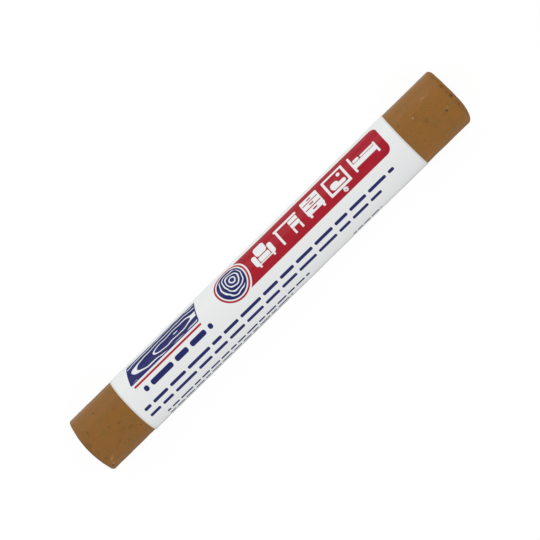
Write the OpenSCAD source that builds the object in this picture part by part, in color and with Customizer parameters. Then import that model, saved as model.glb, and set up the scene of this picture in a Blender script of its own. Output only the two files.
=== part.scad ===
// Furniture repair wax stick: a cast wax rod in a one-turn wrap label.
// Millimetres. The stick lies along X on Z = 0, with the origin under its middle.
// The crowned end points to -X and the rubbing end to +X.

/* [Wax stick] */
// Diameter of the cast wax rod
stick_dia = 11.4; // [6:0.1:25]
// Bare wax between the tip of the crowned end and the label
crown_bare_len = 11.1; // [6:0.1:40]
// Bare wax between the label and the tip of the rubbing end
rub_bare_len = 11.5; // [6:0.1:40]
// Rise of the crown that the mould gives the crowned end
crown_rise = 0.97; // [0.2:0.01:2.5]
// Radius of the crowned end's crisp rim
crown_rim_radius = 0.2; // [0.1:0.05:1]
// Rise of the flatter face on the rubbing end
rub_rise = 0.3; // [0.2:0.01:2.5]
// Radius that rubbing has worn on the rubbing end's rim
rub_rim_radius = 0.8; // [0.1:0.05:1.5]

/* [Label] */
// Length of the label along the stick
label_len = 66.3; // [20:0.1:120]
// Thickness of the printed film
film_thick = 0.06; // [0.04:0.01:0.2]
// Thickness of the adhesive coat on the film's inner face
adhesive_thick = 0.025; // [0.02:0.005:0.08]
// Length of wrap over which the label's outer end laps its inner end
lap_width = 3; // [1:0.1:8]
// Angle of the lap's open edge below the stick's +Y side, in degrees
seam_drop = 30; // [0:1:60]

/* [Quality] */
// Facets round a circle in the preview
facets = 144; // [48:16:256]

/* [Hidden] */

$fn = facets;
full_turn = 360;
// Widest step of the outline that cuts a sector, in degrees
sector_step = 45;
// Reach of an outline that cuts a circle, as a share of the circle's radius
reach_share = 1.5;

// Overrun of every cut past the solid that it cuts
overrun = 0.5;
// A rim circle is larger by this share than one that grazes cap and rod, so it crosses them
rim_swell_share = 0.005;

stick_radius = stick_dia / 2;
stick_len = crown_bare_len + label_len + rub_bare_len;
// Both layers of the label, which is also the climb onto its own inner end
label_thick = adhesive_thick + film_thick;
axis_height = stick_radius + label_thick;
label_start = crown_bare_len - stick_len / 2;

// The taut label leaves the wax on a tangent and lands on the corner of its inner end.
// The wrap's own angles count from where it leaves, anticlockwise seen from +X.
landing_angle = acos(stick_radius / (stick_radius + label_thick));
lap_angle = lap_width / stick_radius * 180 / PI;
open_edge_angle = landing_angle + lap_angle;
wrap_turn = -seam_drop - open_edge_angle;

// Radius of the sphere whose cap is the end face
function cap_radius(rise) = (stick_radius * stick_radius + rise * rise) / (2 * rise);

// Distance of the rim circle's centre from the tip: that circle touches cap and rod
function rim_depth(rise, rim_radius) =
    let (cap = cap_radius(rise))
    cap - sqrt(pow(cap - rim_radius, 2) - pow(stick_radius - rim_radius, 2));

// Radius at which the cap meets the rim circle
function rim_start(rise, rim_radius) =
    let (cap = cap_radius(rise))
    (stick_radius - rim_radius) * cap / (cap - rim_radius);

// What the cap and the rounded rim leave over from a square end, with the tip at the origin
module end_waste(rise, rim_radius) {
    cap = cap_radius(rise);
    depth = rim_depth(rise, rim_radius);
    difference() {
        translate([-overrun, -overrun])
            square([stick_radius + 2 * overrun, depth + overrun]);
        intersection() {
            translate([0, cap]) circle(r = cap);
            union() {
                translate([-overrun, -overrun])
                    square([rim_start(rise, rim_radius) + overrun, depth + 2 * overrun]);
                translate([stick_radius - rim_radius, depth])
                    circle(r = rim_radius * (1 + rim_swell_share));
            }
        }
    }
}

// Half outline of the whole rod, with the crowned end's tip at the origin
module stick_outline() {
    difference() {
        square([stick_radius, stick_len]);
        end_waste(crown_rise, crown_rim_radius);
        translate([0, stick_len]) mirror([0, 1]) end_waste(rub_rise, rub_rim_radius);
    }
}

// Outline that holds the stretch of a circle between two angles
module sector(radius, from, to) {
    steps = ceil((to - from) / sector_step);
    reach = radius * reach_share;
    polygon(concat([[0, 0]], [
        for (i = [0 : steps])
            let (angle = from + (to - from) * i / steps)
            [reach * cos(angle), reach * sin(angle)]
    ]));
}

// Region under a surface of the wrap that leaves the wax flat and then follows its own lap
module lap_region(radius) {
    reach = radius * reach_share;
    intersection() {
        circle(r = radius + label_thick);
        translate([-reach, -reach]) square([reach + radius, 2 * reach]);
    }
}

// Cross-section of one layer of the wrap, whose inner face lies lift above the wax
module wrap_section(lift, thick) {
    inner_radius = stick_radius + lift;
    outer_radius = inner_radius + thick;
    intersection() {
        difference() {
            circle(r = outer_radius);
            circle(r = inner_radius);
        }
        sector(outer_radius, landing_angle, full_turn);
    }
    intersection() {
        difference() {
            lap_region(outer_radius);
            lap_region(inner_radius);
        }
        sector(outer_radius, 0, open_edge_angle);
    }
}

// One layer of the label in its place round the stick
module wrap_layer(lift, thick) {
    translate([label_start, 0, axis_height]) rotate([90, 0, 90]) rotate(wrap_turn)
        linear_extrude(height = label_len) wrap_section(lift, thick);
}

// Cast wax rod with a crowned end and a flatter, worn rubbing end
module wax_stick() {
    color("#8c6032")
        translate([-stick_len / 2, 0, axis_height]) rotate([0, 90, 0])
            rotate_extrude() stick_outline();
}

// Pressure-sensitive adhesive under the whole of the film, also in its lap
module wrap_adhesive() {
    color("#e8dcae") wrap_layer(0, adhesive_thick);
}

// White printed film, wrapped once round the wax and lapped onto itself
module label_film() {
    color("#e5e7e8") wrap_layer(adhesive_thick, film_thick);
}

wax_stick();
wrap_adhesive();
label_film();
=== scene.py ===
"""Furniture repair wax stick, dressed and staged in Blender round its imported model.

The stick lies along X on the floor at Z = 0, with its crowned end at -X and its rubbing end at +X. Meshes are
worked out in millimetres. An angle round the stick counts from its top towards the -Y side, in degrees.
"""

from __future__ import annotations

import logging
import math
from collections.abc import Sequence
from dataclasses import dataclass
from enum import Enum

import bpy
import numpy as np
from mathutils import Matrix, Vector

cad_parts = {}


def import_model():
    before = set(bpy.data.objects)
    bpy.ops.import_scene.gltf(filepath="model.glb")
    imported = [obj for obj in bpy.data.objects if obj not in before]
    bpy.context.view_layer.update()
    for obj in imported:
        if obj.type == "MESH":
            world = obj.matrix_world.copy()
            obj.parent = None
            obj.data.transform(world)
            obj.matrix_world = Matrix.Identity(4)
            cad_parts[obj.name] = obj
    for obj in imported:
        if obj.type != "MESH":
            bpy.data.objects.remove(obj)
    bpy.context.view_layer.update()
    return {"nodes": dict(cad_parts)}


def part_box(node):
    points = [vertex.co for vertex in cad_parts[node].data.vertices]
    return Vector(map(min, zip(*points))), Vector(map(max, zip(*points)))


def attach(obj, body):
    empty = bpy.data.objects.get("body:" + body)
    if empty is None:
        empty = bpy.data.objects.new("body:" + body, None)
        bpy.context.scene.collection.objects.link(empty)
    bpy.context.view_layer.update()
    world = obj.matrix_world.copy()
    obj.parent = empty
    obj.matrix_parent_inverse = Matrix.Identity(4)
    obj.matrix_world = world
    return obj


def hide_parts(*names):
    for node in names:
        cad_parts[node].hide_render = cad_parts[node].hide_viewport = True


MM = 0.001
ROOT = "root"
WAX_NODE, COAT_NODE, FILM_NODE = "wax_stick", "wrap_adhesive", "label_film"
MARK_COLOURS, PRINT_MAP, BAKE_MAP = "marks", "print", "OFBake"
# Half the width of a printed edge's blur, in millimetres
SOFT_EDGE = 0.05
# Angles round the stick, in degrees
FULL_TURN, PLUS_Y_SIDE, BOTTOM = 360.0, 270.0, 180.0
SHORTEST_NORMAL = 1e-12

log = logging.getLogger("wax_stick")

Pair = tuple[float, float]
Triple = tuple[float, float, float]
Socket = bpy.types.NodeSocket
Feed = Socket | float | Sequence[float]


@dataclass(frozen=True)
class StickSizes:
    """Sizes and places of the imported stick, in millimetres."""

    tip: float
    rub_tip: float
    radius: float
    axis_height: float
    label_start: float
    label_end: float
    film_inner: float
    film_outer: float

    @classmethod
    def from_frame(cls) -> StickSizes:
        """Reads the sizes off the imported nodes.

        Returns:
            The stick's sizes.
        """
        wax_low, wax_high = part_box(WAX_NODE)
        coat_low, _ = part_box(COAT_NODE)
        film_low, film_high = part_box(FILM_NODE)
        axis = (wax_low.z + wax_high.z) / 2
        return cls(
            tip=wax_low.x / MM,
            rub_tip=wax_high.x / MM,
            radius=(wax_high.z - wax_low.z) / 2 / MM,
            axis_height=axis / MM,
            label_start=film_low.x / MM,
            label_end=film_high.x / MM,
            film_inner=(axis - coat_low.z) / MM,
            film_outer=(axis - film_low.z) / MM,
        )

    @property
    def label_length(self) -> float:
        """Length of the label along the stick."""
        return self.label_end - self.label_start

    def around(self, x: np.ndarray, radius: np.ndarray, angle: np.ndarray) -> np.ndarray:
        """Returns the points at places along the stick, radii, and angles in radians."""
        return np.stack([x, -radius * np.sin(angle), self.axis_height + radius * np.cos(angle)], -1)


def smooth_step(low: float, high: float, values: np.ndarray) -> np.ndarray:
    """Rises from 0 at low to 1 at high as 3t² - 2t³."""
    t = np.clip((values - low) / (high - low), 0, 1)
    return t * t * (3 - 2 * t)


@dataclass(frozen=True)
class Swell:
    """Seamless relief in space: a sum of plane sine waves with seeded directions and phases."""

    wave: float
    seed: int
    count: int = 28
    spread: float = 0.5

    def at(self, points: np.ndarray) -> np.ndarray:
        """Works out the relief, which has a mean of 0 and a deviation of 1.

        Args:
            points: Places, with x, y and z in the last axis.

        Returns:
            The relief at each place.
        """
        draw = np.random.default_rng(self.seed)
        way = draw.normal(size=(3, self.count))
        way /= np.linalg.norm(way, axis=0)
        waves = self.wave * np.exp(draw.normal(0, self.spread, self.count))
        phase = draw.uniform(0, 2 * np.pi, self.count)
        return np.sin(points @ (way * 2 * np.pi / waves) + phase).sum(-1) * math.sqrt(2 / self.count)


@dataclass(frozen=True)
class Uneven:
    """An amount that swings about its level from place to place, and stays between 0 and its most."""

    swell: Swell
    level: float
    swing: float
    most: float = math.inf

    def at(self, points: np.ndarray) -> np.ndarray:
        """Returns the amount at each place."""
        return (self.level + self.swing * self.swell.at(points)).clip(0, self.most)


@dataclass(frozen=True)
class Lattice:
    """A grid of points whose columns close round the stick, with a pole beyond each end row or none."""

    points: np.ndarray
    poles: np.ndarray | None = None

    def normals(self) -> np.ndarray:
        """Cross product of the way round and the way along, from the neighbours' differences.

        Returns:
            A unit normal at each point of the grid, pointing outwards.
        """
        along = np.gradient(self.points, axis=0)
        way_round = np.roll(self.points, -1, 1) - np.roll(self.points, 1, 1)
        cross = np.cross(way_round, along)
        return cross / np.maximum(np.linalg.norm(cross, axis=-1, keepdims=True), SHORTEST_NORMAL)

    def corners(self) -> tuple[np.ndarray, np.ndarray, np.ndarray, np.ndarray]:
        """Row and column of every face's corners. A column past the last is the first one again.

        Returns:
            Rows and columns of the four-sided faces, then of the fans round the poles, whose pole corner
            has the row before the first or after the last.
        """
        rows, cols = self.points.shape[:2]
        row, col = (numbers.ravel() for numbers in np.mgrid[0 : rows - 1, 0:cols])
        quad_rows = np.stack([row, row, row + 1, row + 1], 1)
        quad_cols = np.stack([col, col + 1, col + 1, col], 1)
        if self.poles is None:
            none = np.empty((0, 3), int)
            return quad_rows, quad_cols, none, none
        col = np.arange(cols)
        first, zero, last = np.full(cols, -1), np.zeros(cols, int), np.full(cols, rows - 1)
        fan_rows = np.concatenate([np.stack([first, zero, zero], 1), np.stack([last, last, last + 1], 1)])
        fan_cols = np.tile(np.stack([col, col + 1, col], 1), (2, 1))
        return quad_rows, quad_cols, fan_rows, fan_cols

    def to_mesh(self, name: str, extra: Sequence[np.ndarray] = ()) -> bpy.types.Mesh:
        """Makes the mesh, in metres.

        Args:
            name: Its name.
            extra: More four-sided faces, as arrays of vertex numbers.

        Returns:
            The mesh, whose vertices are the grid row by row and then the poles.
        """
        rows, cols = self.points.shape[:2]
        quad_rows, quad_cols, fan_rows, fan_cols = self.corners()
        vertices = self.points.reshape(-1, 3)
        faces = (quad_rows * cols + quad_cols % cols).tolist()
        if self.poles is not None:
            vertices = np.concatenate([vertices, self.poles])
            on_grid = (fan_rows >= 0) & (fan_rows < rows)
            fans = np.where(on_grid, fan_rows * cols + fan_cols % cols, rows * cols + (fan_rows >= rows))
            faces += fans.tolist()
        for more in extra:
            faces += more.tolist()
        mesh = bpy.data.meshes.new(name)
        mesh.from_pydata((vertices * MM).tolist(), [], faces)
        mesh.update()
        return mesh


def add_map(mesh: bpy.types.Mesh, name: str, places: np.ndarray) -> None:
    """Adds a UV map from U and V of every face corner."""
    mesh.uv_layers.new(name=name).data.foreach_set("uv", places.astype(np.float32).ravel())


def add_object(name: str, data: bpy.types.ID) -> bpy.types.Object:
    """Puts data into the scene as an object.

    Args:
        name: The object's name.
        data: Its mesh, lamp or camera.

    Returns:
        The object.
    """
    thing = bpy.data.objects.new(name, data)
    bpy.context.scene.collection.objects.link(thing)
    return thing


def add_piece(mesh: bpy.types.Mesh, material: bpy.types.Material, node: str) -> bpy.types.Object:
    """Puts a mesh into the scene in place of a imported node.

    Args:
        mesh: The mesh, whose name the piece takes.
        material: Its material.
        node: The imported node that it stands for.

    Returns:
        The piece.
    """
    piece = add_object(mesh.name, mesh)
    mesh.materials.append(material)
    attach(piece, ROOT)
    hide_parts(node)
    log.info("%s: %d faces, stands for %s", piece.name, len(mesh.polygons), node)
    return piece


def emptied_tree(owner: bpy.types.Material | bpy.types.World) -> bpy.types.NodeTree:
    """Empties the node tree of a material or a world.

    Args:
        owner: The material or the world.

    Returns:
        Its tree.
    """
    owner.use_nodes = True
    owner.node_tree.nodes.clear()
    return owner.node_tree


class Graph:
    """Adds nodes to one tree and wires them, so that a finish reads as a list of steps.

    A Mix node has several sockets of each name, so its colour sockets are found by number.
    """

    MIX_SHARE, MIX_UNDER, MIX_OVER, MIX_RESULT = 0, 6, 7, 2

    def __init__(self, tree: bpy.types.NodeTree) -> None:
        """Works on a tree."""
        self.tree = tree

    def feed(self, socket: Socket, value: Feed) -> None:
        """Links a socket, or sets its constant, where a colour's missing alpha is 1.

        Args:
            socket: The input.
            value: An output to link, or the constant.
        """
        if isinstance(value, Socket):
            self.tree.links.new(value, socket)
        elif isinstance(value, (int, float)):
            socket.default_value = value
        else:
            short = len(socket.default_value) - len(value)
            socket.default_value = (*value, *[1.0] * short)

    def add(self, kind: str, settings: dict[str, object] | None = None, **inputs: Feed) -> bpy.types.Node:
        """Adds a node.

        Args:
            kind: Its type, without the words before it.
            settings: Its own options.
            **inputs: What feeds its sockets, by name with _ for a blank.

        Returns:
            The node.
        """
        node = self.tree.nodes.new(f"ShaderNode{kind}")
        for key, value in (settings or {}).items():
            setattr(node, key, value)
        for key, value in inputs.items():
            self.feed(node.inputs[key.replace("_", " ")], value)
        return node

    def feed_all(self, node: bpy.types.Node, values: Sequence[Feed]) -> bpy.types.Node:
        """Feeds a node's sockets in their order.

        Args:
            node: The node.
            values: What feeds them.

        Returns:
            The node.
        """
        for socket, value in zip(node.inputs, values):
            self.feed(socket, value)
        return node

    def math(self, operation: str, *values: Feed, clamp: bool = False) -> Socket:
        """Adds a sum on numbers and returns its result."""
        node = self.add("Math", {"operation": operation, "use_clamp": clamp})
        return self.feed_all(node, values).outputs[0]

    def plus(self, one: Feed, other: Feed) -> Socket:
        """Returns the sum of two numbers."""
        return self.math("ADD", one, other)

    def minus(self, one: Feed, other: Feed) -> Socket:
        """Returns one number less another."""
        return self.math("SUBTRACT", one, other)

    def times(self, one: Feed, other: Feed) -> Socket:
        """Returns the product of two numbers."""
        return self.math("MULTIPLY", one, other)

    def fused(self, value: Feed, factor: Feed, more: Feed) -> Socket:
        """Returns a number times a factor, plus more."""
        return self.math("MULTIPLY_ADD", value, factor, more)

    def vector(self, operation: str, *values: Feed) -> Socket:
        """Adds a sum on vectors and returns its vector, or its number where it gives one."""
        node = self.feed_all(self.add("VectorMath", {"operation": operation}), values)
        return node.outputs["Value" if operation in ("LENGTH", "DISTANCE") else "Vector"]

    def split(self, place: Feed) -> tuple[Socket, ...]:
        """Returns a vector's three numbers."""
        return tuple(self.add("SeparateXYZ", Vector=place).outputs)

    def joined(self, x: Feed, y: Feed, z: Feed = 0.0) -> Socket:
        """Returns the vector of three numbers."""
        return self.add("CombineXYZ", X=x, Y=y, Z=z).outputs[0]

    def object_place(self) -> Socket:
        """Returns the place on the object in millimetres."""
        place = self.add("TexCoord").outputs["Object"]
        return self.vector("MULTIPLY", place, (1 / MM,) * 3)

    def noise(self, place: Feed, scale: float, detail: float = 2.0, rough: float = 0.5) -> Socket:
        """Returns noise from 0 to 1, with so many features for each unit of place and so many octaves."""
        return self.add("TexNoise", Vector=place, Scale=scale, Detail=detail, Roughness=rough).outputs[0]

    def dice(self, number: Feed) -> Socket:
        """Returns a fixed random number from 0 to 1 for a number."""
        return self.add("TexWhiteNoise", {"noise_dimensions": "1D"}, W=number).outputs["Value"]

    def ramp(self, value: Feed, low: float, high: float, to: tuple[Feed, Feed] = (0.0, 1.0)) -> Socket:
        """Maps the stretch of a value from low to high onto another, with eased ends."""
        bounds = {"From_Min": low, "From_Max": high, "To_Min": to[0], "To_Max": to[1]}
        return self.add("MapRange", {"interpolation_type": "SMOOTHSTEP"}, Value=value, **bounds).outputs[0]

    def mix(self, share: Feed, under: Feed, over: Feed) -> Socket:
        """Lays one colour over another.

        Args:
            share: How much of the upper one shows.
            under: The lower colour.
            over: The upper colour.

        Returns:
            The mixed colour.
        """
        node = self.add("Mix", {"data_type": "RGBA"})
        for index, value in ((self.MIX_SHARE, share), (self.MIX_UNDER, under), (self.MIX_OVER, over)):
            self.feed(node.inputs[index], value)
        return node.outputs[self.MIX_RESULT]

    def group(self, tree: bpy.types.NodeTree, **inputs: Feed) -> Socket:
        """Places a node group and returns its mask."""
        return self.add("Group", {"node_tree": tree}, **inputs).outputs[0]

    def end(self, kind: str, shader: Socket) -> None:
        """Ends the graph with an output node."""
        self.add(kind, Surface=shader)


class GroupGraph(Graph):
    """A node group in the making, with its inputs in their order and the mask that it puts out."""

    def __init__(self, name: str, vectors: Sequence[str], numbers: Sequence[str]) -> None:
        """Makes an empty group.

        Args:
            name: Its name.
            vectors: Names of its vector inputs.
            numbers: Names of its number inputs.
        """
        super().__init__(bpy.data.node_groups.new(name, "ShaderNodeTree"))
        kinds = dict.fromkeys(vectors, "NodeSocketVector") | dict.fromkeys(numbers, "NodeSocketFloat")
        for key, kind in kinds.items():
            self.tree.interface.new_socket(key, in_out="INPUT", socket_type=kind)
        self.tree.interface.new_socket("Mask", in_out="OUTPUT", socket_type="NodeSocketFloat")
        source = self.tree.nodes.new("NodeGroupInput")
        self.given = [source.outputs[key] for key in kinds]
        self.mask = self.tree.nodes.new("NodeGroupOutput").inputs["Mask"]

    def put_out(self, mask: Socket) -> bpy.types.NodeTree:
        """Ends the group with its mask and returns its tree."""
        self.feed(self.mask, mask)
        return self.tree

    def edge(self, core: Feed, corner: Feed) -> Socket:
        """Mask of a rounded shape from how far a place lies past its core.

        The distance is the length of the positive part of core, less the corner's radius. Inside the core it
        is the greater of core's two numbers instead. The mask is 1 where it is negative and 0 where positive.

        Args:
            core: How far the place lies past the core, each way.
            corner: Radius of the corner.

        Returns:
            The mask.
        """
        across, down, _ = self.split(core)
        outside = self.vector("LENGTH", self.vector("MAXIMUM", core, (0.0, 0.0, 0.0)))
        inside = self.math("MINIMUM", self.math("MAXIMUM", across, down), 0.0)
        distance = self.minus(self.plus(outside, inside), corner)
        return self.ramp(distance, -SOFT_EDGE, SOFT_EDGE, to=(1.0, 0.0))


class Effects:
    """Node groups that the finishes share. Each puts out one mask that changes over the surface.

    The two seeds are steps from one row of dashes to the next, and from one cell of a row to the next.
    """

    ROW_SEED, CELL_SEED = 17.31, 3.7
    LOST_CELLS = 0.2
    FIRST_GAP, GAP_SPREAD = 0.32, 0.46
    DASH_ROUNDING = 0.8
    SMALLEST_SPECK = 0.25
    SPECK_CORE = 0.55
    CLOUD_OCTAVES, CLOUD_ROUGHNESS = 4.0, 0.55

    def __init__(self) -> None:
        """Builds every group once."""
        self.bar = self._bar()
        self.rows = self._rows()
        self.specks = self._specks()
        self.mottle = self._mottle()

    def _bar(self) -> bpy.types.NodeTree:
        """Makes a printed bar with round corners. With no core it is a disc of the corner's radius.

        Returns:
            The group.
        """
        graph = GroupGraph("printed_bar", ("Place", "Centre", "Core"), ("Corner",))
        place, centre, core, corner = graph.given
        off = graph.vector("ABSOLUTE", graph.vector("SUBTRACT", place, centre))
        return graph.put_out(graph.edge(graph.vector("SUBTRACT", off, core), corner))

    def _rows(self) -> bpy.types.NodeTree:
        """Makes rows of dashes of uneven length with ragged right ends.

        A place belongs to the nearest row, which is a run of cells of equal length. Each cell holds one gap,
        whose place is drawn from the cell's number, and each row loses a drawn share of its cells.

        Returns:
            The group.
        """
        numbers = ("Pitch", "Rows", "Height", "Cells", "Dash", "Gap", "Seed")
        graph = GroupGraph("printed_rows", ("Place", "Origin"), numbers)
        place, origin, pitch, rows, height, most_cells, dash, gap, first_seed = graph.given
        along, down, _ = graph.split(graph.vector("SUBTRACT", place, origin))
        nearest = graph.math("ROUND", graph.math("DIVIDE", down, pitch))
        row = graph.math("MINIMUM", graph.math("MAXIMUM", nearest, 0.0), graph.minus(rows, 1.0))
        seed = graph.fused(row, self.ROW_SEED, first_seed)
        half = graph.times(height, 0.5)
        off = graph.math("ABSOLUTE", graph.minus(down, graph.times(row, pitch)))
        kept = graph.fused(graph.dice(seed), -self.LOST_CELLS, 1.0)
        count = graph.math("ROUND", graph.times(most_cells, kept))
        cells = graph.math("DIVIDE", along, dash)
        draw = graph.dice(graph.fused(graph.math("FLOOR", cells), self.CELL_SEED, seed))
        gap_at = graph.fused(draw, self.GAP_SPREAD, self.FIRST_GAP)
        to_gap = graph.math("ABSOLUTE", graph.minus(graph.math("FRACT", cells), gap_at))
        clear = graph.minus(graph.times(to_gap, dash), graph.times(gap, 0.5))
        ends = graph.math("MINIMUM", along, graph.times(graph.minus(count, cells), dash))
        corner = graph.times(half, self.DASH_ROUNDING)
        core_along = graph.minus(corner, graph.math("MINIMUM", clear, ends))
        core = graph.joined(core_along, graph.plus(graph.minus(off, half), corner))
        return graph.put_out(graph.edge(core, corner))

    def _specks(self) -> bpy.types.NodeTree:
        """Makes scattered round specks: a share of a cell pattern's cells holds one, of a drawn size.

        Returns:
            The group.
        """
        graph = GroupGraph("specks", ("Place",), ("Cells", "Share", "Size"))
        place, density, share, size = graph.given
        cells = graph.add("TexVoronoi", {"feature": "F1"}, Vector=place, Scale=density)
        drawn, sized, _ = graph.split(cells.outputs["Color"])
        held = graph.math("LESS_THAN", drawn, share)
        reach = graph.times(size, graph.fused(sized, 1.0 - self.SMALLEST_SPECK, self.SMALLEST_SPECK))
        ratio = graph.math("DIVIDE", cells.outputs["Distance"], reach)
        return graph.put_out(graph.times(held, graph.ramp(ratio, self.SPECK_CORE, 1.0, to=(1.0, 0.0))))

    def _mottle(self) -> bpy.types.NodeTree:
        """Makes cloudy patches, whose stretch is their number for each unit of place, each way.

        Returns:
            The group.
        """
        graph = GroupGraph("mottle", ("Place", "Stretch"), ("Contrast",))
        place, stretch, contrast = graph.given
        spread = graph.vector("MULTIPLY", place, stretch)
        cloud = graph.noise(spread, 1.0, self.CLOUD_OCTAVES, self.CLOUD_ROUGHNESS)
        level = graph.math("DIVIDE", graph.minus(cloud, 0.5), contrast)
        return graph.put_out(graph.math("ADD", level, 0.5, clamp=True))


@dataclass(frozen=True)
class Clouds:
    """Soft patches: how many to a millimetre each way, their contrast, their strength and their shift."""

    stretch: Triple
    contrast: float
    strength: float = 1.0
    shift: Triple = (0.0, 0.0, 0.0)


@dataclass(frozen=True)
class Dusting:
    """Specks: cells to a millimetre, the share of cells that hold one, their size and their strength."""

    cells: float
    share: float
    size: float
    strength: float


@dataclass(frozen=True)
class Grain:
    """Wood's rings: their width, their line's width, how far noise bends them, how often and how finely."""

    ring: float
    line: float
    bend: float
    bends: float
    octaves: float = 1.0


class Paint(Graph):
    """A material in the making: its Principled surface, the place on its piece and the colour so far."""

    def __init__(self, name: str, gloss: float, ground: Triple, effects: Effects, uv_map: str = "") -> None:
        """Makes the material.

        Args:
            name: Its name.
            gloss: Its specular level.
            ground: Its first colour.
            effects: The shared node groups.
            uv_map: The UV map that gives the place. Without one it is the place on the object.
        """
        self.material = bpy.data.materials.new(name)
        super().__init__(emptied_tree(self.material))
        self.surface = self.add("BsdfPrincipled", Specular_IOR_Level=gloss)
        self.end("OutputMaterial", self.surface.outputs[0])
        self.effects = effects
        self.place = self.add("UVMap", {"uv_map": uv_map}).outputs[0] if uv_map else self.object_place()
        self.colour: Feed = ground

    def lay(self, mask: Feed, ink: Feed) -> None:
        """Lays a colour over the one so far, as strongly as a mask says."""
        self.colour = self.mix(mask, self.colour, ink)

    def patches(self, kind: Clouds) -> Socket:
        """Returns the mask of soft patches at full strength."""
        place = self.vector("ADD", self.place, kind.shift)
        return self.group(self.effects.mottle, Place=place, Stretch=kind.stretch, Contrast=kind.contrast)

    def cloud(self, kind: Clouds, ink: Triple) -> Socket:
        """Lays soft patches of a colour.

        Args:
            kind: The patches.
            ink: Their colour.

        Returns:
            Their mask at full strength.
        """
        mask = self.patches(kind)
        self.lay(self.times(mask, kind.strength), ink)
        return mask

    def dust(self, kind: Dusting, ink: Triple) -> None:
        """Lays specks of a colour."""
        numbers = {"Cells": kind.cells, "Share": kind.share, "Size": kind.size}
        self.lay(self.times(self.group(self.effects.specks, Place=self.place, **numbers), kind.strength), ink)

    def bar(self, place: Feed, middle: Sequence[float], size: Sequence[float], corner: float) -> Socket:
        """Returns the mask of a bar with round corners."""
        core = (size[0] / 2 - corner, size[1] / 2 - corner, 0.0)
        return self.group(self.effects.bar, Place=place, Centre=(*middle, 0.0), Core=core, Corner=corner)

    def disc(self, middle: Pair, radius: float) -> Socket:
        """Returns the mask of a disc."""
        return self.bar(self.place, middle, (2 * radius, 2 * radius), radius)

    def away(self, middle: Sequence[float]) -> Socket:
        """Returns the distance from a place on the print."""
        return self.vector("DISTANCE", self.place, (*middle, 0.0))

    def rings(self, reach: Feed, grain: Grain) -> Socket:
        """Draws wood's rings: lines at the whole multiples of a width in a distance that noise bends.

        Args:
            reach: The distance.
            grain: The rings.

        Returns:
            The lines' mask.
        """
        noise = self.noise(self.place, grain.bends, grain.octaves)
        bend = self.times(self.minus(noise, 0.5), grain.bend)
        ring = self.math("PINGPONG", self.plus(reach, bend), grain.ring / 2)
        return self.ramp(ring, grain.line / 2, grain.line / 2 + SOFT_EDGE, to=(1.0, 0.0))

    def dry(self, roughness: Socket, height: Socket, relief: float) -> bpy.types.Material:
        """Gives the surface its colour, roughness and fine relief.

        Args:
            roughness: The roughness.
            height: The relief's height, from 0 to 1.
            relief: Millimetres that 1 stands for.

        Returns:
            The material.
        """
        bump = self.add("Bump", Strength=1.0, Distance=relief * MM, Height=height)
        feeds = {"Base Color": self.colour, "Roughness": roughness, "Normal": bump.outputs["Normal"]}
        for key, value in feeds.items():
            self.feed(self.surface.inputs[key], value)
        return self.material


class Tone(Enum):
    """What a mark in the wax looks like. The value is its channel in the marks attribute."""

    DARK = 0
    RUST = 1
    PALE = 2


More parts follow.
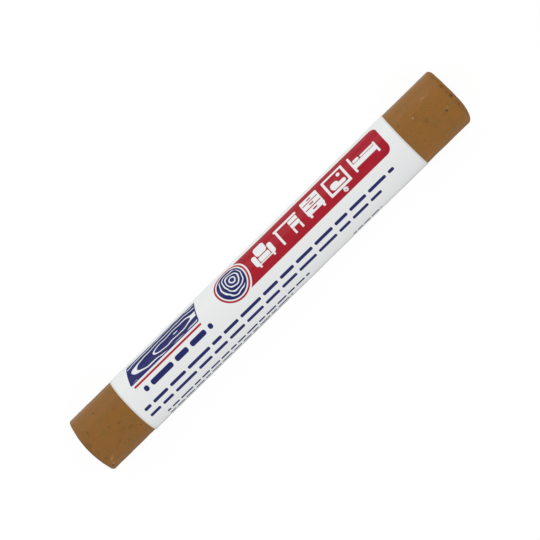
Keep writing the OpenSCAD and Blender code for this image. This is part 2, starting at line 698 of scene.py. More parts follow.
@dataclass(frozen=True)
class WaxFinish:
    """Pigmented, lightly translucent brown wax with a satin skin and matt ends, whose colour is darkened as
    painted shade.

    Places and relief are in millimetres. The grain is its features to a millimetre, octaves and roughness.
    """

    gloss: float = 0.32
    brown: Triple = (0.280, 0.109, 0.0095)
    orange: Triple = (0.322, 0.108, 0.0060)
    olive: Triple = (0.222, 0.106, 0.0115)
    dark: Triple = (0.030, 0.014, 0.004)
    rust: Triple = (0.125, 0.040, 0.004)
    pale: Triple = (0.600, 0.420, 0.230)
    patches: Clouds = Clouds((0.42, 0.6, 0.6), 0.32, 0.75)
    blots: Clouds = Clouds((0.95, 1.3, 1.3), 0.4, 0.55, (31.0, 7.0, 3.0))
    streaks: Clouds = Clouds((0.16, 2.4, 2.4), 0.36, 0.30)
    rust_specks: Dusting = Dusting(1.3, 0.34, 0.2, 0.42)
    dark_specks: Dusting = Dusting(0.62, 0.4, 0.27, 0.20)
    grain: Triple = (5.0, 3.0, 0.6)
    grain_stretch: Pair = (0.3, 0.7)
    grain_shade: Pair = (0.92, 1.07)
    # The colour is a little darker towards the crowned end and lighter towards the rubbing end.
    handled: Pair = (-40.0, 40.0)
    handled_shade: Pair = (0.975, 1.035)
    # The two ends below are made matt, and their colour is darkened by their factors as painted shade.
    crown: Pair = (-43.3, -43.7)
    crown_shade: float = 0.66
    rub: Pair = (43.0, 44.2)
    rub_shade: float = 0.95
    end_roughness: float = 0.85
    skin_roughness: Pair = (0.36, 0.49)
    translucence: float = 0.08
    scatter: float = 0.4
    scatter_tint: Triple = (1.0, 0.5, 0.25)
    relief: float = 0.02

    def build(self, effects: Effects) -> bpy.types.Material:
        """Mixes three browns in patches and streaks, and lays specks and the attribute's marks over them.

        Args:
            effects: The shared node groups.

        Returns:
            The material.
        """
        paint = Paint("brown_wax", self.gloss, self.olive, effects)
        along, _, _ = paint.split(paint.place)
        crown = paint.ramp(along, *self.crown)
        rub = paint.ramp(along, *self.rub)
        grain = paint.noise(paint.place, *self.grain)
        paint.cloud(self.patches, self.brown)
        paint.cloud(self.blots, self.orange)
        streaks = paint.cloud(self.streaks, self.olive)

        shade = paint.ramp(along, *self.handled, to=self.handled_shade)
        shade = paint.times(shade, paint.ramp(grain, *self.grain_stretch, to=self.grain_shade))
        # Painted shade: the colour is darkened towards both ends.
        for end, painted_end_shade in ((crown, self.crown_shade), (rub, self.rub_shade)):
            shade = paint.times(shade, paint.ramp(end, 0.0, 1.0, to=(1.0, painted_end_shade)))
        paint.colour = paint.vector("MULTIPLY", paint.colour, paint.joined(shade, shade, shade))
        paint.dust(self.rust_specks, self.rust)
        paint.dust(self.dark_specks, self.dark)
        channels = paint.split(paint.add("Attribute", {"attribute_name": MARK_COLOURS}).outputs["Vector"])
        for tone, ink in ((Tone.RUST, self.rust), (Tone.DARK, self.dark), (Tone.PALE, self.pale)):
            paint.lay(channels[tone.value], ink)

        satin = paint.ramp(streaks, 0.0, 1.0, to=self.skin_roughness)
        matt = paint.times(paint.math("MAXIMUM", crown, rub), self.end_roughness)
        scatter = {"Weight": self.translucence, "Scale": self.scatter * MM, "Radius": self.scatter_tint}
        for key, value in scatter.items():
            paint.feed(paint.surface.inputs[f"Subsurface {key}"], value)
        height = paint.times(paint.plus(grain, streaks), 0.5)
        return paint.dry(paint.math("MAXIMUM", satin, matt), height, self.relief)


@dataclass(frozen=True)
class CoatFinish:
    """Pale adhesive, greyed by the dust that it has caught where it shows at the label's edges."""

    gloss: float = 0.5
    clean: Triple = (0.52, 0.45, 0.29)
    dusty: Triple = (0.20, 0.16, 0.10)
    smears: Clouds = Clouds((0.7, 0.9, 0.9), 0.3, 0.6)
    dust: Dusting = Dusting(3.0, 0.4, 0.2, 0.8)
    skin_roughness: Pair = (0.45, 0.7)
    lumps: float = 4.0
    relief: float = 0.01

    def build(self, effects: Effects) -> bpy.types.Material:
        """Mixes clean and dusty adhesive in patches and specks.

        Args:
            effects: The shared node groups.

        Returns:
            The material.
        """
        paint = Paint("label_adhesive", self.gloss, self.clean, effects)
        smears = paint.cloud(self.smears, self.dusty)
        paint.dust(self.dust, self.dusty)
        roughness = paint.ramp(smears, 0.0, 1.0, to=self.skin_roughness)
        return paint.dry(roughness, paint.noise(paint.place, self.lumps), self.relief)


@dataclass(frozen=True)
class Bar:
    """One stroke of a pictogram, in shares of the pictogram's height. Down is positive."""

    across: float
    down: float
    width: float
    height: float
    corner: float = 0.03
    cut: bool = False


class Pictogram(Enum):
    """Small furniture signs, each a few strokes."""

    ARMCHAIR = (
        Bar(0.0, -0.24, 0.60, 0.52, 0.14),
        Bar(-0.46, 0.10, 0.24, 0.56, 0.11),
        Bar(0.46, 0.10, 0.24, 0.56, 0.11),
        Bar(0.0, 0.19, 0.60, 0.24, 0.06),
        Bar(0.0, 0.36, 1.04, 0.06),
        Bar(-0.40, 0.44, 0.10, 0.12),
        Bar(0.40, 0.44, 0.10, 0.12),
    )
    DESK = (
        Bar(0.0, -0.34, 1.34, 0.13),
        Bar(-0.56, 0.10, 0.11, 0.80),
        Bar(0.36, -0.01, 0.50, 0.44),
        Bar(0.36, -0.01, 0.50, 0.05, 0.01, cut=True),
        Bar(0.56, 0.36, 0.10, 0.28),
        Bar(0.16, 0.36, 0.10, 0.28),
    )
    CHEST = (
        Bar(0.0, -0.06, 0.98, 0.86, 0.05),
        Bar(0.0, -0.20, 0.86, 0.05, 0.01, cut=True),
        Bar(0.0, 0.08, 0.86, 0.05, 0.01, cut=True),
        Bar(0.0, -0.34, 0.24, 0.07, cut=True),
        Bar(0.0, -0.06, 0.24, 0.07, cut=True),
        Bar(0.0, 0.23, 0.24, 0.07, cut=True),
        Bar(-0.38, 0.43, 0.12, 0.14),
        Bar(0.38, 0.43, 0.12, 0.14),
    )
    PICTURE = (
        Bar(0.0, 0.0, 1.22, 0.98),
        Bar(0.0, 0.0, 0.98, 0.74, cut=True),
        Bar(0.25, -0.17, 0.19, 0.19, 0.095),
        Bar(-0.16, 0.15, 0.46, 0.34, 0.16),
        Bar(0.12, 0.23, 0.58, 0.18, 0.09),
    )
    BED = (
        Bar(-0.66, 0.0, 0.11, 0.92, 0.05),
        Bar(0.66, 0.17, 0.11, 0.58, 0.05),
        Bar(0.0, 0.17, 1.30, 0.24, 0.04),
        Bar(-0.40, -0.05, 0.34, 0.14, 0.06),
        Bar(0.22, -0.03, 0.76, 0.10, 0.05),
    )


@dataclass(frozen=True)
class PrintLayout:
    """Where the label's plain print lies, in millimetres along the label and down from the stick's top."""

    panel_middle: Pair = (45.7, -3.45)
    panel_size: Pair = (36.4, 6.5)
    panel_corner: float = 1.4
    sign_height: float = 4.0
    sign_gap: float = 1.25
    first_sign: float = 32.8
    badge_middle: Pair = (27.6, -3.45)
    badge_radii: tuple[float, ...] = (3.85, 3.55, 3.2, 2.95)
    badge_heart: Pair = (28.1, -3.75)
    badge_grain: Grain = Grain(ring=0.66, line=0.17, bend=1.1, bends=0.45)
    badge_field: float = 2.61
    board_middle: Pair = (11.5, -4.7)
    board_size: Pair = (16.6, 4.3)
    board_corner: float = 0.3
    board_slant: float = 0.3
    board_knot: Pair = (14.6, -4.3)
    board_shrink: float = 0.15
    board_grain: Grain = Grain(ring=0.78, line=0.12, bend=0.9, bends=0.3)
    board_field: Pair = (16.12, 3.82)
    rule_middle: Pair = (11.0, -1.95)
    rule_size: Pair = (16.2, 0.4)
    rule_corner: float = 0.2


@dataclass(frozen=True)
class DashRows:
    """One block of dashes that stands for small print, in millimetres."""

    origin: Pair
    pitch: float
    rows: float
    height: float
    cells: float
    dash: float
    gap: float
    seed: float


HEADING = DashRows((4.0, -0.45), pitch=1.0, rows=1, height=1.05, cells=4, dash=4.1, gap=0.75, seed=2.3)
MAIN_ROWS = DashRows((1.5, 2.15), pitch=1.6, rows=2, height=0.62, cells=15, dash=4.3, gap=0.68, seed=5.1)
SMALL_ROWS = DashRows((4.0, 5.95), pitch=1.3, rows=6, height=0.5, cells=16, dash=2.3, gap=0.38, seed=8.7)
CODE_ROW = DashRows((48.6, 7.25), pitch=1.3, rows=1, height=0.5, cells=4, dash=1.7, gap=0.3, seed=4.4)


@dataclass(frozen=True)
class LabelWear:
    """Dirt on the label, a darker band along its cut edges, and one ragged nick with a speck of dirt beside
    it.

    Places and reaches are in millimetres. Noise moves the borders of the edge band and the nick by as much as
    their unevenness says.
    """

    dirt: Dusting = Dusting(0.62, 0.22, 0.13, 0.30)
    edge_noise: Pair = (0.9, 3.0)
    edge_uneven: float = 0.5
    edge_reach: Pair = (-0.22, 0.25)
    edge_strength: float = 0.30
    nick: Pair = (53.25, -0.95)
    nick_border: Pair = (0.35, 0.55)
    nick_noise: Triple = (2.4, 4.0, 0.7)
    nick_uneven: float = 1.1
    hole_reach: float = 0.3
    speck: Pair = (53.95, -0.65)
    speck_reach: Pair = (0.07, 0.182)
    speck_strength: float = 0.9


@dataclass(frozen=True)
class LabelFinish:
    """White film with a plain red and navy print under a satin skin.

    The film's noise, like those of its wear, is its features to a millimetre, octaves and roughness.
    """

    gloss: float = 0.2
    white: Triple = (0.840, 0.866, 0.868)
    warm_white: Triple = (0.848, 0.862, 0.850)
    red: Triple = (0.420, 0.004, 0.020)
    deep_red: Triple = (0.355, 0.002, 0.013)
    navy: Triple = (0.009, 0.013, 0.125)
    grime: Triple = (0.30, 0.24, 0.17)
    torn: Triple = (0.30, 0.28, 0.29)
    dirt: Triple = (0.012, 0.010, 0.012)
    paper: Clouds = Clouds((0.12, 0.25, 1.0), 0.35)
    ink: Clouds = Clouds((0.5, 0.9, 1.0), 0.4)
    skin_roughness: Pair = (0.13, 0.23)
    film_stretch: Triple = (0.8, 1.6, 1.0)
    film_noise: Triple = (1.0, 4.0, 0.6)
    relief: float = 0.012
    layout: PrintLayout = PrintLayout()
    wear: LabelWear = LabelWear()

    def build(self, effects: Effects, label_length: float) -> bpy.types.Material:
        """Lays the print over the white film, and the wear over the print.

        Args:
            effects: The shared node groups.
            label_length: Length of the label along the stick.

        Returns:
            The material.
        """
        paint = Paint("printed_film", self.gloss, self.white, effects, PRINT_MAP)
        paper = paint.cloud(self.paper, self.warm_white)
        self._lay_board(paint)
        self._lay_panel(paint)
        self._lay_badge(paint)
        for block in (HEADING, MAIN_ROWS, SMALL_ROWS, CODE_ROW):
            numbers = {key.capitalize(): value for key, value in vars(block).items()}
            numbers["Origin"] = (*block.origin, 0.0)
            paint.lay(paint.group(effects.rows, Place=paint.place, **numbers), self.navy)
        self._lay_wear(paint, label_length)
        film = paint.noise(paint.vector("MULTIPLY", paint.place, self.film_stretch), *self.film_noise)
        return paint.dry(paint.ramp(paper, 0.0, 1.0, to=self.skin_roughness), film, self.relief)

    def _lay_board(self, paint: Paint) -> None:
        """Lays a navy board with slanted ends and white grain, and a thin red rule below it.

        The grain is rings round a knot, with distances along the board shrunk.

        Args:
            paint: The material in the making.
        """
        plan = self.layout
        along, down, _ = paint.split(paint.place)
        slanted = paint.joined(paint.fused(down, plan.board_slant, along), down)
        middle = (plan.board_middle[0] + plan.board_slant * plan.board_middle[1], plan.board_middle[1])
        paint.lay(paint.bar(slanted, middle, plan.board_size, plan.board_corner), self.navy)
        from_knot = paint.vector("SUBTRACT", paint.place, (*plan.board_knot, 0.0))
        shrunk = paint.vector("MULTIPLY", from_knot, (plan.board_shrink, 1.0, 0.0))
        lines = paint.rings(paint.vector("LENGTH", shrunk), plan.board_grain)
        field = paint.bar(slanted, middle, plan.board_field, plan.board_corner)
        paint.lay(paint.times(lines, field), self.white)
        paint.lay(paint.bar(paint.place, plan.rule_middle, plan.rule_size, plan.rule_corner), self.red)

    def _lay_panel(self, paint: Paint) -> None:
        """Lays the red panel and its white furniture signs, with equal gaps between them.

        Args:
            paint: The material in the making.
        """
        plan = self.layout
        high = plan.sign_height
        ink = paint.mix(paint.patches(self.ink), self.red, self.deep_red)
        paint.lay(paint.bar(paint.place, plan.panel_middle, plan.panel_size, plan.panel_corner), ink)
        left = plan.first_sign
        for sign in Pictogram:
            half = max(abs(bar.across) + bar.width / 2 for bar in sign.value) * high
            drawn: Feed = 0.0
            for bar in sign.value:
                middle = (left + half + bar.across * high, plan.panel_middle[1] + bar.down * high)
                size = (bar.width * high, bar.height * high)
                stroke = paint.bar(paint.place, middle, size, bar.corner * high)
                if bar.cut:
                    drawn = paint.math("MINIMUM", drawn, paint.minus(1.0, stroke))
                else:
                    drawn = paint.math("MAXIMUM", drawn, stroke)
            left += 2 * half + plan.sign_gap
            paint.lay(drawn, self.white)

    def _lay_badge(self, paint: Paint) -> None:
        """Lays the round navy badge, which shows the growth rings of a log's end.

        Args:
            paint: The material in the making.
        """
        plan = self.layout
        for radius, ink in zip(plan.badge_radii, (self.white, self.red, self.white, self.navy)):
            paint.lay(paint.disc(plan.badge_middle, radius), ink)
        lines = paint.rings(paint.away(plan.badge_heart), plan.badge_grain)
        paint.lay(paint.times(lines, paint.disc(plan.badge_middle, plan.badge_field)), self.white)

    def _lay_wear(self, paint: Paint, label_length: float) -> None:
        """Lays dirt specks, a darker band along both cut edges, and the nick through the print.

        Args:
            paint: The material in the making.
            label_length: Length of the label along the stick.
        """
        wear = self.wear
        paint.dust(wear.dirt, self.grime)
        along, _, _ = paint.split(paint.place)
        from_end = paint.math("MINIMUM", along, paint.minus(label_length, along))
        # The colour darkens in a band along both cut edges.
        border = paint.fused(paint.noise(paint.place, *wear.edge_noise), -wear.edge_uneven, from_end)
        paint.lay(paint.ramp(border, *wear.edge_reach, to=(wear.edge_strength, 0.0)), self.grime)

        ragged = paint.minus(paint.noise(paint.place, *wear.nick_noise), 0.5)
        reach = paint.fused(ragged, wear.nick_uneven, paint.away(wear.nick))
        paint.lay(paint.ramp(reach, *wear.nick_border, to=(1.0, 0.0)), self.white)
        paint.lay(paint.ramp(reach, 0.0, wear.hole_reach, to=(1.0, 0.0)), self.torn)
        speck = paint.ramp(paint.away(wear.speck), *wear.speck_reach, to=(wear.speck_strength, 0.0))
        paint.lay(speck, self.dirt)


@dataclass(frozen=True)
class Mark:
    """A pit, chip, smear or scratch in the wax, centred on a place of its side. Sizes are in millimetres."""

    along: float
    angle: float
    size: float
    tone: Tone
    strength: float = 1.0
    dent: float = 0.0
    stretch: float = 1.0
    lean: float = 0.0


@dataclass(frozen=True)
class RodEnd:
    """One end of the rod: a shallow dome, and a rim rounded as a quarter of an ellipse, in millimetres.

    Where the rim is most worn, its width and depth reach their second values. The lean is how far the face
    stands out for each millimetre towards the -Y side.
    """

    dome_rise: float
    rim_width: Pair
    rim_depth: Pair
    worn_at: float = 0.0
    worn_spread: float = 2.5
    lean: float = 0.0

    def wear(self, angles: np.ndarray) -> np.ndarray:
        """Share of wear round the rim: the half cosine of the angle from the most worn place, to a power."""
        return ((1 + np.cos(angles - math.radians(self.worn_at))) / 2) ** self.worn_spread


@dataclass(frozen=True)
class WaxRod:
    """The cast wax rod with its crowned end, its worn rubbing end and its marks.

    Each swell is a height in millimetres with its relief, and fades in past the label over swell_from.
    """

    sizes: StickSizes
    columns: int = 288
    face_rows: int = 36
    rim_rows: int = 12
    bare_rows: int = 80
    covered_rows: int = 6
    swells: tuple[tuple[float, Swell], ...] = ((0.010, Swell(3.2, 3)), (0.004, Swell(0.8, 4)))
    swell_from: Pair = (0.05, 0.4)
    ragged: Uneven = Uneven(Swell(0.35, 11), level=1.0, swing=0.22)
    mark_depth_ratio: float = 2.0
    longest_bake_row: float = 0.4
    crowned: RodEnd = RodEnd(dome_rise=0.94, rim_width=(0.24, 0.30), rim_depth=(0.20, 0.26), lean=0.016)
    rubbing: RodEnd = RodEnd(dome_rise=0.22, rim_width=(0.9, 3.5), rim_depth=(0.6, 1.4), worn_at=95.0)

    MARKS = (
        Mark(41.7, 15.8, 0.19, Tone.DARK, 1.0, dent=0.14),
        Mark(42.15, 12, 0.20, Tone.PALE, 0.14, stretch=1.6, lean=-20),
        Mark(36.6, -16.5, 0.13, Tone.PALE, 0.75),
        Mark(36.9, -14.5, 0.30, Tone.RUST, 0.30, stretch=1.5),
        Mark(40.3, -31, 0.20, Tone.PALE, 0.16, stretch=4.0, lean=9),
        Mark(44.0, -22.5, 0.36, Tone.RUST, 0.70, dent=0.03, stretch=0.8),
        Mark(43.9, -9.5, 0.24, Tone.RUST, 0.55, dent=0.02),
        Mark(44.15, 2.5, 0.42, Tone.RUST, 1.0, dent=0.06, stretch=0.7),
        Mark(44.15, 10.5, 0.26, Tone.PALE, 0.75, dent=0.10, stretch=0.7),
        Mark(44.1, 14.5, 0.24, Tone.DARK, 0.45, dent=0.05),
        Mark(44.0, 24.5, 0.32, Tone.RUST, 0.85, dent=0.03, stretch=0.7),
        Mark(42.9, -39.5, 0.40, Tone.DARK, 0.14),
        Mark(43.9, -48.5, 0.34, Tone.DARK, 0.18),
        Mark(37.3, -19.5, 0.30, Tone.RUST, 0.30),
        Mark(33.9, -25.5, 0.24, Tone.RUST, 0.40),
        Mark(37.9, 2.5, 0.45, Tone.RUST, 0.32),
        Mark(38.5, 21.5, 0.22, Tone.RUST, 0.40),
        Mark(-38.8, -42.1, 0.20, Tone.DARK, 0.45, dent=0.02),
        Mark(-41.8, -21.1, 0.18, Tone.DARK, 0.45, dent=0.02),
        Mark(-38.4, -2.1, 0.20, Tone.DARK, 0.40, dent=0.02),
        Mark(-36.5, 4.9, 0.22, Tone.DARK, 0.30, dent=0.02, stretch=1.3),
        Mark(-34.2, 34.9, 0.18, Tone.DARK, 0.35, dent=0.02),
        Mark(-37.6, 41.9, 0.18, Tone.DARK, 0.25),
        Mark(-35.4, -22.1, 0.50, Tone.RUST, 0.25),
        Mark(-36.8, 16.9, 0.26, Tone.DARK, 0.20, stretch=2.6, lean=8),
        Mark(-35.4, 25.9, 0.24, Tone.DARK, 0.18, stretch=3.4, lean=28),
        Mark(-38.8, 29.9, 0.28, Tone.DARK, 0.20, stretch=2.4, lean=-35),
        Mark(-39.7, 33.9, 0.24, Tone.DARK, 0.14, stretch=2.0, lean=-30),
        Mark(-43.1, -3.1, 0.70, Tone.RUST, 0.40, stretch=0.5),
        Mark(-42.9, 15.9, 0.60, Tone.DARK, 0.16, stretch=0.5),
        Mark(-42.6, -31.1, 0.60, Tone.DARK, 0.14, stretch=0.6),
        Mark(-42.6, 35.9, 0.34, Tone.DARK, 0.22, dent=0.03, stretch=1.4, lean=-30),
        Mark(-42.9, 61.9, 0.24, Tone.DARK, 0.80, dent=0.09),
        Mark(-42.5, 57.9, 0.20, Tone.PALE, 0.50, dent=0.05),
        Mark(-41.9, 43.9, 0.22, Tone.PALE, 0.20, stretch=3.0, lean=-30),
    )

    def _end_rows(self, end: RodEnd, angles: np.ndarray) -> tuple[np.ndarray, np.ndarray]:
        """Rings of an end, from the first one off the pole to the rim's foot.

        On the dome a radius r lies rise·(r/R)² - lean·r·sin(angle) behind the tip. On the rim, of width w and
        depth d, the radius is R - w + w·sin(a) and the place d·(1 - cos(a)) further back, for a from 0 to 90
        degrees.

        Args:
            end: The end.
            angles: Angle of each column, in radians.

        Returns:
            Distances behind the tip and radii, each with a row for each ring.
        """
        worn = end.wear(angles)
        width, depth = (least + (most - least) * worn for least, most in (end.rim_width, end.rim_depth))
        share = (np.arange(1, self.face_rows + 1) / self.face_rows)[:, None]
        turn = (np.arange(1, self.rim_rows + 1) / self.rim_rows * np.pi / 2)[:, None]
        face = self.sizes.radius - width
        radii = np.concatenate([share * face, face + width * np.sin(turn)])
        backs = end.dome_rise * (radii / self.sizes.radius) ** 2 - end.lean * radii * np.sin(angles)
        backs[self.face_rows :] += depth * (1 - np.cos(turn))
        return backs, radii

    def _rest(self) -> Lattice:
        """The smooth rod, ring by ring from the crowned tip to the rubbing tip.

        Returns:
            Its lattice.
        """
        size = self.sizes
        angles = np.arange(self.columns) / self.columns * 2 * np.pi
        crown_back, crown_radius = self._end_rows(self.crowned, angles)
        rub_back, rub_radius = self._end_rows(self.rubbing, angles)
        crown_x = size.tip + crown_back
        rub_x = (size.rub_tip - rub_back)[::-1]
        steps = (np.arange(1, self.bare_rows + 1) / self.bare_rows)[:, None]
        covered = np.linspace(size.label_start, size.label_end, self.covered_rows + 2)[1:-1, None]
        first = crown_x[-1] + (size.label_start - crown_x[-1]) * steps
        second = size.label_end + (rub_x[0] - size.label_end) * (steps - steps[0])
        side = np.concatenate([first, np.repeat(covered, self.columns, 1), second])
        x = np.concatenate([crown_x, side, rub_x])
        radius = np.concatenate([crown_radius, np.full_like(side, size.radius), rub_radius[::-1]])
        poles = np.array([[x, 0, size.axis_height] for x in (size.tip, size.rub_tip)])
        return Lattice(size.around(x, radius, angles), poles)

    def _marked(self, points: np.ndarray) -> tuple[np.ndarray, np.ndarray]:
        """How strongly each mark shows at each point.

        A mark falls off as exp(-q⁴), where q is the distance from its middle over its size, measured along
        its own leaning axes on the wax, and bent by noise so that its edge is uneven. It reaches further into
        the wax than along it, by mark_depth_ratio.

        Args:
            points: Points of the wax.

        Returns:
            Strength by tone as a colour, and depth of the dents.
        """
        tones = np.zeros((*points.shape[:-1], 4))
        tones[..., 3] = 1
        dents = np.zeros(points.shape[:-1])
        ragged = self.ragged.at(points)
        for mark in self.MARKS:
            angle, lean = math.radians(mark.angle), math.radians(mark.lean)
            off = points - self.sizes.around(mark.along, self.sizes.radius, angle)
            along, across = off[..., 0], off @ np.array([0, -math.cos(angle), -math.sin(angle)])
            out = off @ np.array([0, -math.sin(angle), math.cos(angle)])
            long = along * math.cos(lean) + across * math.sin(lean)
            wide = across * math.cos(lean) - along * math.sin(lean)
            reach = (long / mark.stretch) ** 2 + wide**2 + (out / self.mark_depth_ratio) ** 2
            fall = np.exp(-((np.sqrt(reach) / mark.size * ragged) ** 4))
            channel = tones[..., mark.tone.value]
            np.maximum(channel, mark.strength * fall, out=channel)
            dents += mark.dent * fall
        return tones, dents

    def build(self, material: bpy.types.Material) -> bpy.types.Object:
        """Makes the rod: the smooth one, moved along its normals by a faint swell and by its dents.

        Args:
            material: Its material.

        Returns:
            The piece.
        """
        size = self.sizes
        rest = self._rest()
        points = rest.points
        tones, dents = self._marked(points)
        from_label = np.maximum(size.label_start - points[..., 0], points[..., 0] - size.label_end)
        relief = sum(height * swell.at(points) for height, swell in self.swells) - dents
        lift = smooth_step(*self.swell_from, from_label) * relief
        lattice = Lattice(points + rest.normals() * lift[..., None], rest.poles)
        mesh = lattice.to_mesh("wax_rod")
        colours = np.concatenate([tones.reshape(-1, 4), [[0, 0, 0, 1]] * len(rest.poles)])
        marks = mesh.color_attributes.new(MARK_COLOURS, "FLOAT_COLOR", "POINT")
        marks.data.foreach_set("color", colours.ravel())
        self._add_bake_map(mesh, lattice)
        mesh.shade_smooth()
        return add_piece(mesh, material, WAX_NODE)

    def _add_bake_map(self, mesh: bpy.types.Mesh, lattice: Lattice) -> None:
        """Unrolls the rod onto a square: once round across it, and row by row up it.

        The rows take their true share of the height, apart from the covered middle, which takes little.

        Args:
            mesh: The rod's mesh.
            lattice: Its grid.
        """
        step = np.linalg.norm(np.diff(lattice.points[:, 0], axis=0), axis=-1)
        step = np.concatenate([[step[0]], np.minimum(step, self.longest_bake_row), [step[-1]]])
        height = np.concatenate([[0], np.cumsum(step)]) / step.sum()
        quad_rows, quad_cols, fan_rows, fan_cols = lattice.corners()
        fan_cols = fan_cols.astype(float)
        fan_cols[: self.columns, 0] += 0.5
        fan_cols[self.columns :, 2] += 0.5
        rows = np.concatenate([quad_rows.ravel(), fan_rows.ravel()]) + 1
        cols = np.concatenate([quad_cols.ravel(), fan_cols.ravel()])
        add_map(mesh, BAKE_MAP, np.stack([cols / self.columns, height[rows]], 1))


@dataclass(frozen=True)
class PrintedLabel:
    """The printed film: a strip wrapped once round the wax, whose outer end laps its inner end.

    Each lift is a height in millimetres with the distance from its edge over which it falls to 1/e.
    """

    sizes: StickSizes
    lap_width: float = 3.0
    seam_drop: float = 30.0
    round_steps: int = 176
    length_steps: int = 150
    edge_rows: int = 8
    edge_step: float = 0.08
    crease: float = 40.0
    ripple: float = 0.007
    ripple_stretch: Triple = (0.5, 1.0, 1.0)
    ripple_level: Uneven = Uneven(Swell(6.0, 21), level=0.6, swing=1.0)
    cut_lift: Pair = (0.035, 0.35)
    cut_level: Uneven = Uneven(Swell(3.0, 22), level=0.5, swing=0.5, most=1.4)
    lap_lift: Pair = (0.03, 0.6)
    lap_level: Uneven = Uneven(Swell(7.0, 23), level=0.4, swing=0.6, most=1.5)
    pressed_half: float = 1.6
    lifted_from: Pair = (2.5, 4.5)
    off_print: float = 200.0
    bake_span: float = 68.0
    hidden_share: float = 0.25
    island_gap: float = 0.4

    @property
    def open_edge(self) -> float:
        """Angle of the lap's open edge, after a whole turn."""
        return PLUS_Y_SIDE - self.seam_drop

    @property
    def label_thick(self) -> float:
        """Thickness of the film and its adhesive together."""
        return self.sizes.film_outer - self.sizes.radius

    @property
    def climb_angle(self) -> float:
        """Angle over which the taut film climbs onto its own inner end."""
        return math.degrees(math.acos(self.sizes.radius / (self.sizes.radius + self.label_thick)))

    @property
    def leave_angle(self) -> float:
        """Angle at which the film leaves the wax to climb onto its own inner end."""
        return self.open_edge - self.climb_angle - math.degrees(self.lap_width / self.sizes.radius)

    def _radius(self, base: float, angles: np.ndarray) -> np.ndarray:
        """Radius of a face of the wrap: its base, a tangent line, then a label's thickness above the base.

        The tangent line has the radius base / cos(a) at an angle a past where the film leaves the wax.

        Args:
            base: Radius of the face before the climb.
            angles: Angles along the wrap, in degrees.

        Returns:
            The radius at each angle.
        """
        past = np.radians(np.clip(angles - self.leave_angle, 0, self.climb_angle))
        return np.minimum(base / np.cos(past), base + self.label_thick)

    def _stations(self) -> np.ndarray:
        """Places along the stick, closer together near both cut edges.

        Returns:
            The places.
        """
        size = self.sizes
        near = np.arange(self.edge_rows) * self.edge_step
        far = np.linspace(near[-1], size.label_length - near[-1], self.length_steps)[1:-1]
        return size.label_start + np.concatenate([near, far, size.label_length - near[::-1]])

    def build(self, material: bpy.types.Material) -> bpy.types.Object:
        """Makes the film as one closed strip: its outer face, and its inner face on the way back.

        Both faces are lifted together by a faint ripple, which is strongest beside the cut edges.

        Args:
            material: Its material.

        Returns:
            The piece.
        """
        size = self.sizes
        inner_end = self.leave_angle + self.climb_angle - FULL_TURN
        angles = np.linspace(inner_end, self.open_edge, self.round_steps)
        stations = self._stations()
        radii = [self._radius(size.film_outer, angles), self._radius(size.film_inner, angles)[::-1]]
        x, turned = np.meshgrid(stations, np.concatenate([angles, angles[::-1]]), indexing="ij")
        phi = np.radians(turned)
        radius = np.broadcast_to(np.concatenate(radii), x.shape)
        taut = size.around(x, radius, phi) - (0, 0, size.axis_height)
        lattice = Lattice(size.around(x, radius + self._lift(taut, turned), phi))
        mesh = lattice.to_mesh("printed_label", self._end_faces(len(stations)))
        self._add_maps(mesh, lattice, stations - size.label_start, np.radians(angles) * size.film_outer)
        mesh.shade_smooth()
        mesh.set_sharp_from_angle(angle=math.radians(self.crease))
        return add_piece(mesh, material, FILM_NODE)

    def _lift(self, taut: np.ndarray, angles: np.ndarray) -> np.ndarray:
        """Height of the film above its taut place.

        A ripple of plane waves runs over the whole face. The cut edges and the lap's open edge lift as
        exp(-d/reach), where d is the distance from the edge, by an uneven amount. The line on which the
        stick rests stays pressed down, and so does the film's hidden inner end.

        Args:
            taut: Points of the taut film, from the stick's axis.
            angles: Their angles along the wrap, in degrees.

        Returns:
            The height at each point.
        """
        size = self.sizes
        outer = size.film_outer
        ripple = self.ripple * self.ripple_level.at(taut * self.ripple_stretch)
        from_cut = np.minimum(taut[..., 0] - size.label_start, size.label_end - taut[..., 0])
        from_open = np.radians(self.open_edge - angles) * outer
        lifts = ((self.cut_lift, from_cut, self.cut_level), (self.lap_lift, from_open, self.lap_level))
        edges = sum(lift * np.exp(-off / reach) * level.at(taut) for (lift, reach), off, level in lifts)
        from_bottom = np.radians(angles % FULL_TURN - BOTTOM) * outer
        pressed = 1 - np.exp(-((from_bottom / self.pressed_half) ** 2))
        from_inner_end = np.radians(angles - angles.min()) * outer
        return (ripple + edges) * pressed * smooth_step(*self.lifted_from, from_inner_end)

    def _end_faces(self, stations: int) -> list[np.ndarray]:
        """Faces that close the film's thickness at both cut edges.

        Args:
            stations: Number of places along the stick.

        Returns:
            The faces of the first and the last cut edge, as vertex numbers.
        """
        cols = 2 * self.round_steps
        out = np.arange(self.round_steps - 1)
        back = cols - 1 - out
        first = np.stack([out + 1, out, back, back - 1], 1)
        last = np.stack([out, out + 1, back - 1, back], 1) + (stations - 1) * cols
        return [first, last]

    def _add_maps(self, mesh: bpy.types.Mesh, lattice: Lattice, along: np.ndarray, arc: np.ndarray) -> None:
        """Adds the print's map, in millimetres, and the bake's map, inside a square.

        The outer face lies as it is wrapped, once flat. On the print's map all else lies far off the print.
        On the bake's map the inner face and the film's four thin edges are narrow strips beside it, each a
        gap or two from the next.

        Args:
            mesh: The film's mesh.
            lattice: Its grid.
            along: Places along the label.
            arc: Places round it, on its outer face.
        """
        count, gap = self.round_steps, self.island_gap
        rows, cols, _, _ = lattice.corners()
        first = cols[:, :1]
        outer = first < count - 1
        back = np.maximum(2 * count - 1 - cols, 0)
        u, v = along[rows], arc[np.where(cols < count, cols, back)]
        cut_u = np.zeros((2 * (count - 1), 4))
        print_u = np.concatenate([u, cut_u])
        print_v = np.concatenate([np.where(outer, v, v + self.off_print), cut_u + self.off_print])
        add_map(mesh, PRINT_MAP, np.stack([print_u, print_v], -1))

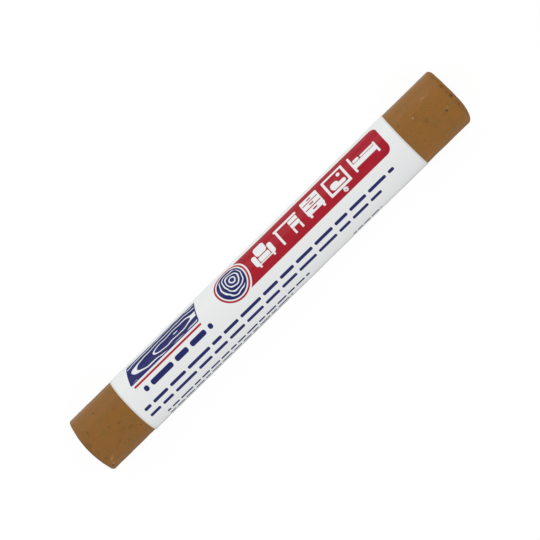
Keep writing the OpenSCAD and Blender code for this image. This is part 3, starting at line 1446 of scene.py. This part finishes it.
        width = arc[-1] - arc[0]
        flat = v - arc[0]
        hidden = width + 2 * gap + flat * self.hidden_share
        strips = width + 3 * gap + width * self.hidden_share
        across = np.array([0, gap, gap, 0])
        folds = strips + across, strips + 2 * gap + across
        faces = [outer, first == count - 1, first < 2 * count - 1]
        bake_v = np.select(faces, [flat, folds[0], hidden], folds[1])
        here, there = arc[:-1] - arc[0], arc[1:] - arc[0]
        orders = (there, here, here, there), (here, there, there, here)
        cut_u = np.concatenate([np.stack(order, 1) for order in orders])
        cut_v = strips + 5 * gap + np.repeat([0, 2 * gap], count - 1)[:, None] + np.array([0, 0, gap, gap])
        bake = np.stack([np.concatenate([u, cut_u]), np.concatenate([bake_v, cut_v])], -1)
        add_map(mesh, BAKE_MAP, (bake + gap) / self.bake_span)


@dataclass(frozen=True)
class Studio:
    """A white floor under an even white sky, with one broad weak softbox low on the +Y side.

    Places on the floor are in millimetres, all else in metres.
    """

    floor_half: float = 3.0
    floor_white: float = 0.72
    # Painted light: to the stick's light the floor is brighter on its +Y side.
    floor_bright: float = 0.95
    bright_side: Pair = (0.0, 5.0)
    # Painted shadow: to the stick's light a darker strip lies on the floor on its -Y side.
    floor_dark: float = 0.40
    dark_strip: Pair = (-10.5, -5.5)
    strip_blur: float = 2.0
    floor_seen: float = 0.08
    floor_glow: float = 0.935
    sky: float = 0.90
    softbox_excess: float = 0.85
    softbox_distance: float = 1.2
    softbox_side: float = 0.62
    softbox_angle: float = -70.0

    def build(self) -> None:
        """Lays the floor, sets the sky and hangs the softbox."""
        self._floor()
        self._sky()
        self._softbox()
        log.info("studio: floor, sky and softbox")

    def _floor(self) -> None:
        """A flat floor that is white to the camera and keeps the stick's shadow.

        To the stick's light it is a pale board with painted light to +Y and a painted shadow strip to -Y.
        """
        half = self.floor_half
        mesh = bpy.data.meshes.new("floor")
        corners = [(x * half, y * half, 0.0) for x, y in ((-1, -1), (1, -1), (1, 1), (-1, 1))]
        mesh.from_pydata(corners, [], [(0, 1, 2, 3)])
        material = bpy.data.materials.new("white_floor")
        graph = Graph(emptied_tree(material))
        seen = graph.add("LightPath").outputs["Is Camera Ray"]
        _, across, _ = graph.split(graph.object_place())
        low, high = self.dark_strip
        # Painted light on the +Y side and a painted shadow strip on the -Y side, for all but camera rays.
        bright = graph.ramp(across, *self.bright_side, to=(self.floor_white, self.floor_bright))
        near = graph.ramp(across, low - self.strip_blur, low)
        far = graph.ramp(across, high, high + self.strip_blur, to=(1.0, 0.0))
        grey = graph.fused(graph.times(near, far), self.floor_dark - self.floor_white, bright)
        grey = graph.ramp(seen, 0.0, 1.0, to=(grey, self.floor_seen))
        board = graph.add("BsdfDiffuse", Color=graph.joined(grey, grey, grey))
        glow = graph.add("Emission", Strength=graph.times(seen, self.floor_glow))
        both = graph.feed_all(graph.add("AddShader"), (board.outputs[0], glow.outputs[0]))
        graph.end("OutputMaterial", both.outputs[0])
        mesh.materials.append(material)
        add_object("floor", mesh)

    def _sky(self) -> None:
        """An even sky that lights at its own level and shows as plain white."""
        world = bpy.data.worlds.new("sky")
        graph = Graph(emptied_tree(world))
        paths = graph.add("LightPath").outputs
        seen = graph.math("MAXIMUM", paths["Is Camera Ray"], paths["Is Glossy Ray"])
        seen = graph.math("MAXIMUM", seen, paths["Is Transmission Ray"])
        strength = graph.ramp(seen, 0.0, 1.0, to=(self.sky, 1.0))
        sky = graph.add("Background", Color=(1.0, 1.0, 1.0), Strength=strength)
        graph.end("OutputWorld", sky.outputs[0])
        bpy.context.scene.world = world

    def _softbox(self) -> None:
        """A square lamp that faces the stick and is softbox_excess brighter than the sky behind it."""
        data = bpy.data.lights.new("softbox", "AREA")
        data.shape = "SQUARE"
        data.size = self.softbox_side
        data.energy = self.softbox_excess * math.pi * self.softbox_side**2
        angle = math.radians(self.softbox_angle)
        way = Vector((0.0, -math.sin(angle), math.cos(angle)))
        lamp = add_object("softbox", data)
        lamp.location = way * self.softbox_distance
        lamp.rotation_euler = way.to_track_quat("Z", "Y").to_euler()


@dataclass(frozen=True)
class Viewpoint:
    """The photograph's camera: nearly straight above the stick, which runs up to the right of the picture.

    Its sizes are in millimetres and its angles in degrees.
    """

    aim: Triple = (0.286, 0.167, 5.785)
    distance: float = 721.4
    tilt: float = 4.9
    climb: float = 44.38
    lens: float = 276.8
    sensor: float = 36.0
    clip: Pair = (50.0, 20000.0)

    def build(self) -> None:
        """Makes the camera.

        It stands at the aim point plus the distance along a line that leans by the tilt towards +X. Turning
        its axes by the climb puts the stick's length at that angle over the picture's lower edge.
        """
        data = bpy.data.cameras.new("camera")
        data.sensor_width, data.lens = self.sensor, self.lens
        data.clip_start, data.clip_end = (limit * MM for limit in self.clip)
        tilt, climb = math.radians(self.tilt), math.radians(self.climb)
        back = Vector((math.sin(tilt), 0.0, math.cos(tilt)))
        along = Vector((math.cos(tilt), 0.0, -math.sin(tilt)))
        down = Vector((0.0, -1.0, 0.0))
        right = along * math.cos(climb) + down * math.sin(climb)
        up = along * math.sin(climb) - down * math.cos(climb)
        turn = Matrix((right, up, back)).transposed().to_4x4()
        place = (Vector(self.aim) + back * self.distance) * MM
        camera = add_object("camera", data)
        camera.matrix_world = Matrix.Translation(place) @ turn
        bpy.context.scene.camera = camera
        log.info("camera: %.0f mm from the stick", self.distance)


def dress_adhesive(frame: dict, material: bpy.types.Material) -> None:
    """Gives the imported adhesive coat, whose shape is right, its finish.

    Args:
        material: The finish.
    """
    materials = frame["nodes"][COAT_NODE].data.materials
    materials.clear()
    materials.append(material)
    log.info("%s: dressed", COAT_NODE)


def main() -> None:
    """Builds the camera, the pieces and the studio in order."""
    logging.basicConfig(level=logging.INFO, format="%(name)s: %(message)s")
    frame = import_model()
    bpy.context.scene.view_settings.view_transform = "Standard"
    Viewpoint().build()
    sizes = StickSizes.from_frame()
    effects = Effects()
    WaxRod(sizes).build(WaxFinish().build(effects))
    dress_adhesive(frame, CoatFinish().build(effects))
    PrintedLabel(sizes).build(LabelFinish().build(effects, sizes.label_length))
    Studio().build()


if __name__ == "__main__":
    main()
